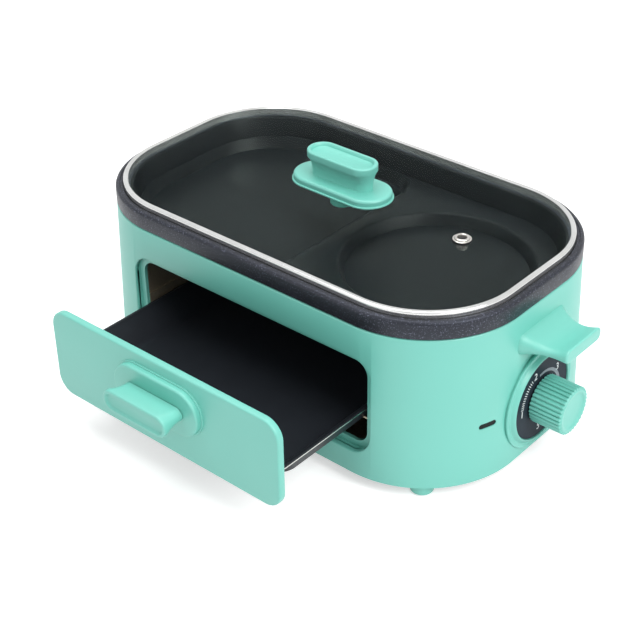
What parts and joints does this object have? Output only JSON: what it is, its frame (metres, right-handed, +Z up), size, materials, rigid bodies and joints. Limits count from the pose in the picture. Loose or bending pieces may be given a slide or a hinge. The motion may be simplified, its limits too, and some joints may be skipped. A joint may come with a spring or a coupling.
{
  "type": "breakfast maker station",
  "caption": "Countertop griddle station: rounded housing with a lidded two-zone griddle pan on top, a pull-out oven drawer in front and a heat dial on one end.",
  "frame": {"origin": "centre of the bounding box with the drawer at its rest place, on the surface the feet stand on", "axes": "+X towards the end with the dial, -Y towards the front with the drawer, +Z up"},
  "size_m": [0.3948, 0.3106, 0.1691],
  "materials": {
    "turquoise_plastic": "satin",
    "rubber": "matt",
    "dark_sheet": "satin",
    "plain_steel": "satin",
    "oven_sheet": "satin",
    "heater_rod": "oxidised",
    "ceramic": "matt",
    "dark_plastic": "satin",
    "indicator": "gloss",
    "lamp_glass": "gloss",
    "pan_coating": "speckled non-stick coating",
    "dial_face": "satin",
    "tray_enamel": "satin enamel",
    "lid_glass": "gloss"
  },
  "bodies": {
    "housing": {"housing_front": "turquoise_plastic", "housing_back": "turquoise_plastic", "housing_end_right": "turquoise_plastic", "housing_end_left": "turquoise_plastic", "drawer_opening_frame": "turquoise_plastic", "base_plate": "dark_sheet", "feet": "turquoise_plastic", "foot_pads": "rubber", "base_screws": "plain_steel", "side_handle_right": "turquoise_plastic", "side_handle_left": "turquoise_plastic", "side_handle_screws": "plain_steel", "oven_liner": "oven_sheet", "liner_stands": "oven_sheet", "drawer_rail_right": "oven_sheet", "drawer_rail_left": "oven_sheet", "lower_heater": "heater_rod", "upper_heater": "heater_rod", "heater_insulators": "ceramic", "griddle_heater": "heater_rod", "griddle_heater_clips": "oven_sheet", "griddle_pan": "pan_coating", "pan_gasket": "rubber", "dial_bezel": "turquoise_plastic", "dial_plate": "dial_face", "heat_control": "dark_plastic", "heat_control_nut": "plain_steel", "indicator_lens": "indicator", "indicator_lamp": "lamp_glass", "cord_gland": "dark_plastic", "terminal_block": "ceramic", "thermal_cutout": "oven_sheet"},
    "drawer": {"drawer_front": "turquoise_plastic", "drawer_tray": "tray_enamel", "drawer_handle_base": "turquoise_plastic", "drawer_handle_grip": "turquoise_plastic", "drawer_handle_screws": "plain_steel"},
    "knob": {"control_knob": "turquoise_plastic", "control_shaft": "plain_steel"},
    "lid": {"lid_glass": "lid_glass", "lid_rim": "plain_steel", "lid_handle_base": "turquoise_plastic", "lid_handle_grip": "turquoise_plastic", "lid_handle_screw": "plain_steel", "lid_handle_boss": "turquoise_plastic", "vent_eyelet": "plain_steel"}
  },
  "joints": [
    {"name": "drawer_slide", "type": "slide", "parent": "housing", "child": "drawer", "axis": [0, -1, 0], "range_m": [-0.078, 0.04]},
    {"name": "knob_turn", "type": "hinge", "parent": "housing", "child": "knob", "pos_m": [0.17, 0.04724, 0.0472], "axis": [-1, 0, 0], "range_deg": [0, 270]},
    {"name": "lid_lift", "type": "slide", "parent": "housing", "child": "lid", "axis": [0, 0, 1], "range_m": [0, 0.08]}
  ]
}
